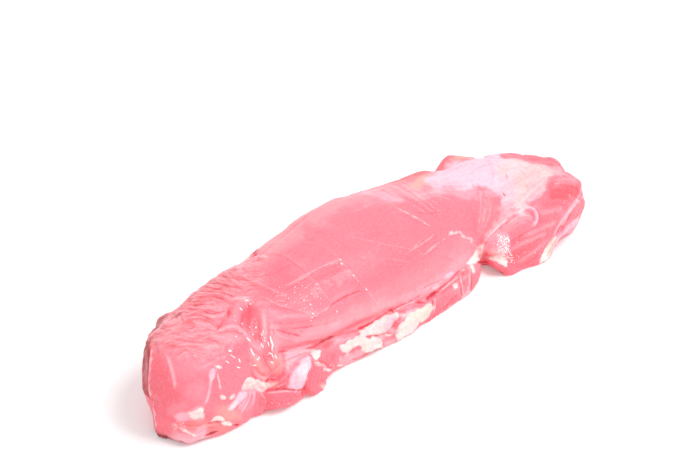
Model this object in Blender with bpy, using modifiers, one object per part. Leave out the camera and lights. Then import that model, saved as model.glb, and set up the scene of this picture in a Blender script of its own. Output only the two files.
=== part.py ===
"""Raw pork tenderloin, trimmed but whole, with the side muscle and the head lobe left on.

Metres, +Z up. The length runs along X, with the thin tail at -X and the thick head at +X, and the meat
lies on the flat z = 0. The side muscle runs along the -Y flank. Every muscle is a row of rounded
sections; they are grown into one skin, which then gets its folds, seams and fat lumps.
"""

import math

import bmesh
import bpy
import numpy as np
from mathutils import Matrix, Vector
from mathutils.bvhtree import BVHTree

MM = 0.001
CORNERS = 16  # corners of each section's cage
SKIN_STEP = 1.15 * MM  # grain of the grown-together skin
SKIN_PASSES = 8  # rounds of smoothing, which turn the joins into soft seams
FACETS = 11400  # triangles of the finished solid
SWELL = 0.45  # mm, height of the slow unevenness all over
SEED = 11
MEAT_COLOUR = (0.88, 0.30, 0.35, 1)
MEAT_ROUGHNESS = 0.38

# Each muscle is a row of sections: along X, centre across Y, centre up Z, half width, half height (mm).
MAIN_MUSCLE = (
    (-131, -1.5, 15, 6, 8),
    (-129.5, -2.5, 15.5, 10.5, 14),
    (-126, -2.5, 16, 15, 18.5),
    (-119, -1, 17.5, 20.5, 22),
    (-109, 1.5, 18.5, 24.5, 23),
    (-98, 3, 19, 26, 23),
    (-85, 4.5, 20, 28, 22.5),
    (-70, 5, 20.5, 30, 22.5),
    (-50, 4.5, 21, 30.5, 22.5),
    (-28, 6, 21.5, 33, 26),
    (0, 6, 22, 34.5, 27),
    (30, 5.5, 21, 33.5, 24.5),
    (50, 5, 20.5, 31, 22.5),
    (70, 4.5, 19, 29.5, 20.5),
    (90, 2, 17, 28, 18.5),
    (110, -1, 15.5, 26, 17.5),
    (125, -3, 14.5, 24, 16),
    (134, -4, 14, 16, 12),
)
TAIL_FLAP = (
    (-130, -7, 4, 6, 6),
    (-128.5, -8, 5, 10, 8),
    (-122, -10, 5, 12, 9),
    (-110, -13, 5, 11.5, 9),
    (-98, -15, 5, 10, 8),
    (-90, -15, 5, 6, 6),
)
SIDE_MUSCLE = (
    (-98, -16, 5, 7, 7),
    (-90, -19, 6, 10, 10),
    (-74, -22, 7.5, 12, 12),
    (-63, -22.5, 7.5, 11, 11),
    (-55, -21.5, 7, 10, 10.5),
    (-47, -20, 7, 8.5, 10),
    (-39, -21, 6.5, 8.5, 10),
    (-28, -24, 6, 9, 10),
    (0, -25, 6, 9.5, 10),
    (20, -25, 6, 10, 10),
    (36, -25, 6.5, 10.5, 10.5),
    (48, -24.5, 7, 9.5, 10.5),
    (55, -24, 7, 8.5, 9.5),
    (58, -23.5, 7, 5.5, 7),
    (59.5, -23.5, 7, 2.5, 4),
)
HEAD_LOBE = (
    (60, -20, 13, 7, 7),
    (64, -22, 14, 11, 12),
    (70, -23.5, 13.5, 14.5, 16.5),
    (77, -24.5, 13, 17.5, 20),
    (90, -26, 12.5, 19.5, 21.5),
    (105, -25, 12.5, 20, 22),
    (119, -24, 13, 20, 21.5),
    (130, -23, 14, 18, 18.5),
    (135.5, -22, 14, 11, 11),
)
FAR_LOBE = (
    (70, 13, 13, 10, 10),
    (90, 15, 14, 15, 13),
    (110, 8, 14.5, 20, 15),
    (125, 0, 15, 23, 16),
    (137, -6, 15, 20, 15),
    (144, -8, 15, 12, 10),
)
UNDERSIDE = (
    (-120, -3, 3, 12, 7),
    (-100, -1, 3, 18, 8),
    (-40, 0, 3, 25, 8),
    (40, 0, 3, 24, 8),
    (80, -6, 3, 24, 8),
    (122, -12, 3, 18, 7),
)
# How square a section is above and below its middle: 2 is an ellipse, and soft meat slumps squarer below.
MUSCLES = (
    ("main_muscle", MAIN_MUSCLE, 2.3, 2.8),
    ("tail_flap", TAIL_FLAP, 2.4, 2.6),
    ("side_muscle", SIDE_MUSCLE, 2.3, 2.6),
    ("head_lobe", HEAD_LOBE, 2.8, 2.6),
    ("far_lobe", FAR_LOBE, 2.4, 2.6),
    ("underside", UNDERSIDE, 2.5, 3.0),
)

# What shows on the skin: height (below 0 is a groove) and half width in mm, then the stations of its path.
# A station is (mm along the spine, degrees around it): 0 is the crest, 90 the near flank, -90 the far one.
SPINE_START, SPINE_END = -100, 100
SPINE_HEIGHT = 18
END_RADIUS = 30  # past the spine's ends, a station goes on over the rounded end
RELIEF = (
    ("seam over the side muscle", -2.4, 2.2, ((-77, 73), (-67, 83), (-47, 92), (-10, 96), (19, 101), (44, 100))),
    ("lip of the main muscle", -2.0, 2.0, ((-94, 59), (-91, 78), (-86, 95), (-82, 94), (-77, 88), (-77, 73))),
    ("fold behind the lip", -1.6, 2.2, ((-79, 30), (-83, 42), (-85, 64), (-81, 83))),
    ("roll of the lip", 1.2, 3.2, ((-77, 40), (-81, 60), (-80, 80))),
    ("fold beside the roll", -1.2, 2.2, ((-88, 40), (-90, 58), (-88, 78))),
    ("gully below the shoulder", -1.5, 3.2, ((-76, 9), (-82, 17), (-87, 28), (-89, 42))),
    ("knot lobe", 2.0, 6.0, ((-105, 109), (-94, 111))),
    ("notch beside the knot", -2.2, 2.6, ((-91, 101), (-92, 117))),
    ("groove over the tail flap", -1.2, 2.2, ((-134, 118), (-132, 104), (-119, 110), (-111, 118))),
    ("slit in the tail flap", -2.0, 1.8, ((-121, 122), (-116, 119))),
    ("shoulder of the tail end", 1.8, 8.0, ((-106, -58), (-115, -61), (-129, -47))),
    ("step of the tail end", 1.0, 3.0, ((-104, -58), (-101, -52))),
    ("dip beside the step", -1.4, 2.6, ((-95, -58), (-89, -58))),
    ("rim of the tail end", 0.9, 1.8, ((-122, -41), (-132, -25), (-140, -23), (-145, -153), (-137, 175))),
    ("hollow outside the rim", -1.3, 2.4, ((-117, -60), (-127, -57), (-137, -45), (-143, -76))),
    ("arc of the tail membrane", -0.6, 2.2, ((-131, 33), (-121, 51), (-119, 62), (-121, 79))),
    ("dent of the tail end", -1.2, 6.0, ((-117, 68), (-122, 98))),
    ("seam of the head lobe", -1.2, 2.2, ((61, 99), (66, 76), (73, 70), (80, 68))),
    ("notch below the head lobe", -5.0, 3.2, ((62, 124), (62, 114), (63, 104))),
    ("upper edge of the head lobe", -1.0, 2.6, ((84, 69), (100, 65), (114, 61))),
    ("shelf of the head lobe", 1.6, 3.0, ((106, 66), (117, 72))),
    ("upper corner of the head end", 2.0, 3.0, ((117, 73), (121, 80))),
    ("lower corner of the head end", 1.2, 3.0, ((120, 90), (119, 97))),
    ("hollow below the head end", -2.4, 4.5, ((111, 106), (107, 108), (103, 113))),
    ("heel of the head lobe", 2.6, 4.0, ((95, 113), (86, 114))),
    ("fat strip of the head lobe", 1.0, 2.2, ((110, 99), (99, 105), (96, 113))),
    ("hollow beside the fat strip", -0.8, 2.4, ((105, 93), (99, 98), (90, 103))),
    ("foot of the head lobe", 2.6, 4.0, ((68, 113), (73, 116), (80, 113))),
    ("hollow over the foot", -1.2, 3.2, ((62, 105), (66, 106))),
    ("tendon lump", 1.2, 4.0, ((-75, 101), (-66, 92))),
    ("groove beside the tendon", -1.3, 2.2, ((-74, 110), (-70, 100), (-64, 96))),
    ("groove over the first lump", -1.2, 2.0, ((-90, 101), (-78, 104))),
    ("groove before the fat", -1.4, 2.2, ((-54, 107), (-46, 96))),
    ("first fat lump", 1.4, 4.0, ((-42, 99), (-27, 105))),
    ("second fat lump", 1.2, 4.0, ((-28, 98), (-13, 97))),
    ("third fat lump", 1.4, 4.0, ((-7, 105), (9, 105))),
    ("groove between the fat lumps", -1.0, 2.0, ((-21, 114), (-16, 109), (-10, 102))),
    ("groove after the fat", -1.2, 2.4, ((5, 117), (11, 109), (18, 103))),
    ("split in the side muscle end", -1.0, 2.0, ((38, 114), (38, 99))),
    ("shoulder of the main muscle", -1.4, 4.0, ((-47, -47), (-51, -27), (-53, -5), (-54, 16))),
    ("swell of the main muscle", 1.2, 16.0, ((-25, -37), (5, -34))),
    ("first crease of the belly", -0.6, 2.2, ((-57, 21), (-29, 26))),
    ("second crease of the belly", -0.7, 2.4, ((-46, 59), (-27, 60))),
    ("third crease of the belly", -0.6, 2.0, ((-76, 30), (-70, 40), (-54, 48))),
    ("fourth crease of the belly", -0.6, 2.0, ((-77, 47), (-71, 58), (-55, 69))),
    ("edge of the silverskin", -0.6, 2.4, ((54, -7), (67, 22), (84, 43))),
    ("strip behind the silverskin", 3.4, 5.0, ((85, -55), (106, -57))),
    ("dip of the far shoulder", -1.9, 8.0, ((-56, -52), (-41, -52), (-14, -47))),
    ("dip of the far back", -1.4, 8.0, ((16, -46), (36, -45), (56, -47))),
    ("flat top of the far lobe", -1.5, 6.0, ((122, -48), (131, -28), (135, -7))),
    ("corner of the far lobe", 1.6, 5.0, ((128, 54), (137, 62))),
    ("far seam", -1.3, 2.6, ((-104, -96), (-62, -84), (-20, -90), (28, -82), (70, -88), (104, -80))),
    ("fold of the far flank", -1.0, 2.2, ((-92, -66), (-70, -72), (-48, -84))),
    ("second fold of the far flank", -0.9, 2.2, ((-12, -62), (14, -70), (36, -82))),
    ("fat lump of the far flank", 1.1, 5.0, ((40, -96), (58, -94), (74, -98))),
    ("cleft of the head end", -1.4, 2.6, ((112, 40), (126, 66), (136, 110))),
    ("fold of the head end", -0.8, 2.2, ((118, -60), (128, -84), (134, -120))),
)
WRINKLES = 13  # fine folds that cross the tail aslant, one behind the other
WRINKLE_START, WRINKLE_STEP = -122, 5.2  # mm along the spine, at the crest
WRINKLE_SLANT = 0.17  # mm along the spine for each degree around
WRINKLE_DEPTH = (0.25, 0.7)
WRINKLE_WIDTH = 1.7


def clear_scene():
    for obj in list(bpy.data.objects):
        bpy.data.objects.remove(obj)


def rounded(across, up, square_above, square_below):
    """How far a corner in this direction lies from the middle of a rounded square of half width 1."""
    square = square_above if up > 0 else square_below
    return (abs(across) ** square + abs(up) ** square) ** (-1 / square)


def loft(name, sections, square_above, square_below):
    """A closed cage of rounded rings bridged in a row, smoothed by subdivision."""
    bm = bmesh.new()
    rings = []
    for along, across, up, wide, tall in sections:
        ring = bmesh.ops.create_circle(bm, cap_ends=False, segments=CORNERS, radius=1.0)["verts"]
        for corner in ring:
            side, height = corner.co.x, corner.co.y
            reach = rounded(side, height, square_above, square_below)
            corner.co = Vector((along, across + reach * side * wide, up + reach * height * tall)) * MM
        rings.append(ring)
    edges = [[e for e in bm.edges if set(e.verts) <= set(ring)] for ring in rings]
    for near, far in zip(edges, edges[1:]):
        bmesh.ops.bridge_loops(bm, edges=near + far)
    for end in (edges[0], edges[-1]):
        bmesh.ops.holes_fill(bm, edges=end)
    bmesh.ops.recalc_face_normals(bm, faces=bm.faces)
    mesh = bpy.data.meshes.new(name)
    bm.to_mesh(mesh)
    bm.free()
    obj = bpy.data.objects.new(name, mesh)
    bpy.context.scene.collection.objects.link(obj)
    smooth = obj.modifiers.new("round", "SUBSURF")
    smooth.levels = smooth.render_levels = 2
    return obj


def apply(obj, modifier):
    with bpy.context.temp_override(object=obj, active_object=obj, selected_objects=[obj]):
        bpy.ops.object.modifier_apply(modifier=modifier.name)


def grow_together(muscles):
    """The muscles under one soft skin."""
    for muscle in muscles:
        apply(muscle, muscle.modifiers["round"])
    meat = muscles[0]
    with bpy.context.temp_override(active_object=meat, selected_editable_objects=muscles):
        bpy.ops.object.join()
    meat.name = meat.data.name = "tenderloin"
    skin = meat.modifiers.new("skin", "REMESH")
    skin.mode = "VOXEL"
    skin.voxel_size = SKIN_STEP
    apply(meat, skin)
    soft = meat.modifiers.new("soft", "SMOOTH")
    soft.iterations = SKIN_PASSES
    apply(meat, soft)
    return meat


def on_skin(tree, along, around):
    """The point of the skin at a station, in mm: a ray from the spine, which tilts over past the spine's ends."""
    foot = min(max(along, SPINE_START), SPINE_END)
    tilt = max(-1.5, min(1.5, (along - foot) / END_RADIUS))
    turn = math.radians(around)
    ray = Vector((math.sin(tilt), -math.sin(turn) * math.cos(tilt), math.cos(turn) * math.cos(tilt)))
    return np.array(tree.ray_cast(Vector((foot, 0, SPINE_HEIGHT)), ray)[0])


def flowing(stations, rounds=2):
    """The stations with the path's corners cut, so that it bends softly."""
    points = np.array(stations, float)
    for _ in range(rounds):
        near = points[:-1] * 0.75 + points[1:] * 0.25
        far = points[:-1] * 0.25 + points[1:] * 0.75
        middle = np.stack((near, far), axis=1).reshape(-1, 2)
        points = np.vstack((points[:1], middle, points[-1:]))
    return points


def stroke(skin, tree, stations, half_width):
    """How strongly a stroke works on each point of the skin: 1 on its path, fading to its sides and ends."""
    points = np.array([on_skin(tree, *station) for station in flowing(stations)])
    lengths = np.linalg.norm(np.diff(points, axis=0), axis=1)
    start = np.concatenate(([0.0], np.cumsum(lengths)))
    nearest = np.full(len(skin), np.inf)
    walked = np.zeros(len(skin))
    for a, b, length, gone in zip(points, points[1:], lengths, start):
        share = np.clip((skin - a) @ (b - a) / length**2, 0, 1)
        distance = np.linalg.norm(skin - a - share[:, None] * (b - a), axis=1)
        closer = distance < nearest
        nearest[closer] = distance[closer]
        walked[closer] = gone + share[closer] * length
    to_end = np.minimum(walked, start[-1] - walked)
    taper = np.clip(0.35 + to_end / (2 * half_width), 0, 1)
    return np.exp(-((nearest / half_width) ** 2)) * taper


def wrinkles():
    """Depth and stations of the fine folds of the tail, each from one flank some way over the crest to the other."""
    chance = np.random.default_rng(SEED)
    for i in range(WRINKLES):
        crest = WRINKLE_START + i * WRINKLE_STEP
        far, near = chance.uniform(-70, -25), chance.uniform(0, 48)
        around = np.linspace(far, near, 4)
        along = crest + WRINKLE_SLANT * around + chance.uniform(-1.8, 1.8, 4)
        yield chance.uniform(*WRINKLE_DEPTH), list(zip(along, around))


def swells(skin):
    """Slow unevenness all over, a few crossing waves of 35 to 70 mm."""
    chance = np.random.default_rng(SEED)
    height = np.zeros(len(skin))
    for _ in range(9):
        direction = chance.normal(size=3)
        direction *= 2 * np.pi / chance.uniform(35, 70) / np.linalg.norm(direction)
        height += np.sin(skin @ direction + chance.uniform(0, 2 * np.pi))
    return height / 3


def carve(meat):
    """Moves the skin in and out along its normals."""
    mesh = meat.data
    count = len(mesh.vertices)
    skin = np.empty(count * 3)
    mesh.vertices.foreach_get("co", skin)
    skin = skin.reshape(-1, 3) / MM
    normals = np.empty(count * 3)
    mesh.vertices.foreach_get("normal", normals)
    normals = normals.reshape(-1, 3)
    tree = BVHTree.FromPolygons(skin.tolist(), [face.vertices for face in mesh.polygons])
    height = SWELL * swells(skin)
    for _, amount, half_width, stations in RELIEF:
        height += amount * stroke(skin, tree, stations, half_width)
    for depth, stations in wrinkles():
        height -= depth * stroke(skin, tree, stations, WRINKLE_WIDTH)
    moved = (skin + normals * height[:, None]) * MM
    mesh.vertices.foreach_set("co", moved.reshape(-1))
    mesh.update()


def lay_down(meat):
    """Cuts the underside flat where it lies, and thins the skin to the wanted number of facets."""
    bm = bmesh.new()
    bm.from_mesh(meat.data)
    everything = bm.verts[:] + bm.edges[:] + bm.faces[:]
    cut = bmesh.ops.bisect_plane(bm, geom=everything, dist=1e-6, plane_co=(0, 0, 0), plane_no=(0, 0, 1),
                                 clear_inner=True)["geom_cut"]
    rim = [part for part in cut if isinstance(part, bmesh.types.BMEdge)]
    bmesh.ops.holes_fill(bm, edges=rim)
    bmesh.ops.triangulate(bm, faces=bm.faces)
    bm.to_mesh(meat.data)
    bm.free()
    thin = meat.modifiers.new("thin", "DECIMATE")
    thin.ratio = FACETS / len(meat.data.polygons)
    apply(meat, thin)


def centre(meat):
    """Puts the origin under the middle of the meat, on the flat that it lies on."""
    corners = np.array(meat.bound_box)
    middle = (corners.min(axis=0) + corners.max(axis=0)) / 2
    meat.data.transform(Matrix.Translation((-middle[0], -middle[1], -corners[:, 2].min())))


def raw_pork():
    """Moist pink meat."""
    material = bpy.data.materials.new("raw_pork")
    material.use_nodes = True
    shader = material.node_tree.nodes["Principled BSDF"]
    shader.inputs["Base Color"].default_value = MEAT_COLOUR
    shader.inputs["Roughness"].default_value = MEAT_ROUGHNESS
    shader.inputs["Subsurface Weight"].default_value = 0.2
    shader.inputs["Subsurface Radius"].default_value = (1.0, 0.35, 0.25)
    shader.inputs["Subsurface Scale"].default_value = 3 * MM
    return material


def into_collection(name, obj):
    collection = bpy.data.collections.new(name)
    bpy.context.scene.collection.children.link(collection)
    collection.objects.link(obj)
    bpy.context.scene.collection.objects.unlink(obj)


def main():
    clear_scene()
    muscles = [loft(*muscle) for muscle in MUSCLES]
    meat = grow_together(muscles)
    carve(meat)
    lay_down(meat)
    centre(meat)
    meat.data.shade_smooth()
    meat.data.materials.append(raw_pork())
    into_collection("pork_tenderloin", meat)


main()
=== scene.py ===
"""The looks of a whole raw pork tenderloin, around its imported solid.

The solid is grown into a fine skin, and folds, seams, fat and membranes are laid on it. What the picture
shows is placed by picture points (690 by 460), and what it hides by stations: mm along the spine and
degrees around it, with 0 at the crest, 90 on the near flank and -90 on the far one.
"""

import math

import bmesh
import bpy
import numpy as np
from mathutils import Matrix, Vector, noise
from mathutils.bvhtree import BVHTree


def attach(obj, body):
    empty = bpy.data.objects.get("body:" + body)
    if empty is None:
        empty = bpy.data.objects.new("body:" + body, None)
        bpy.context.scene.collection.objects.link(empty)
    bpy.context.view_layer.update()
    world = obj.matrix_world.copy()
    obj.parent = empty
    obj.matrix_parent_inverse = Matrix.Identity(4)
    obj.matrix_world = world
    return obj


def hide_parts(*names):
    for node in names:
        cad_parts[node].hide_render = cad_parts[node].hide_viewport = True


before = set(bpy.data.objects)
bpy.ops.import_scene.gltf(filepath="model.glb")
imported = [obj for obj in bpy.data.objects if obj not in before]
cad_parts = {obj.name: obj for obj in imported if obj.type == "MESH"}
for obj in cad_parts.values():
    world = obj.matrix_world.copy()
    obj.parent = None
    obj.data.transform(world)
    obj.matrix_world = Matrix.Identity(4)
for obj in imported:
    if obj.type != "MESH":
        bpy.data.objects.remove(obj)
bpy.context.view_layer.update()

MM = 0.001
SEED = 23

# The camera: degrees and metres, what it looks at, and the picture point where that lands.
PICTURE_WIDTH, PICTURE_HEIGHT = 690, 460
VIEW_AZIMUTH, VIEW_ELEVATION = -48.5, 32.0
VIEW_ANGLE, VIEW_DISTANCE = 25.0, 0.73
LOOK_AT = Vector((-0.0062, 0.0026, 0.030))
LOOK_AT_POINT = (359.0, 252.5)
MM_PER_POINT = 0.45  # how much of the meat one picture point covers

# The spine that stations count from, in mm.
SPINE_START, SPINE_END = -106.2, 93.8
SPINE_Y, SPINE_Z = 2.6, 18.0
END_RADIUS = 30.0
MM_PER_DEGREE = 0.6  # around the meat, on an average stretch of skin

SKIN_STEP = 2.1  # mm between points of the underside; half of it elsewhere, and a quarter where the detail is
SKIN_PASSES = 4
UNDERSIDE = 0.9  # mm, how far up the flat underside's own points reach
# Where the skin is finest: the tail, the side muscle and the head lobe, from and to, along and around.
FINEST = ((-200, -70, -46, 150), (-200, 200, 86, 125), (60, 200, 64, 128))
SIGHT_TRIED = range(500, 960, 4)  # mm from the camera, where a line of sight that misses looks for the skin
# The folds that cross the tail run ahead, and bend down to both sides of a crest, in mm.
FOLDS_AHEAD, ACROSS_FOLDS = (0.66, -0.75, 0.0), (0.40, 0.35, 0.85)
FOLDS_CREST, FOLDS_BEND = -75.0, 0.018
THIN_WIDTH = (0.18, 0.55)  # mm, half width of the faintest and the strongest thin line
THIN_REACH = 2.4  # how far off a thin line the skin knows of it, in gaps between the skin's points
FARTHEST_SIDE = 9.0  # in half widths of a thin line, where its sides are no longer told apart
EDGE_FADE = 0.12  # cosine to the line of sight, either side of the outline, where what shows fades out
LEAST_SLANT = 0.3  # cosine to the line of sight, below which a thin line isn't widened further

# What the skin can be made of: covers hide what is under them, tints colour it, and a slit or a thread is a
# thin dark or pale line of its own. The slits are dark cuts, and also painted shade in the creases they
# follow.
COVERS = ("flesh", "fat", "silver")
TINTS = ("red", "pale", "warm", "peach", "blood", "brown", "cream", "white", "creased")
THIN = ("slit", "thread")

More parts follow.
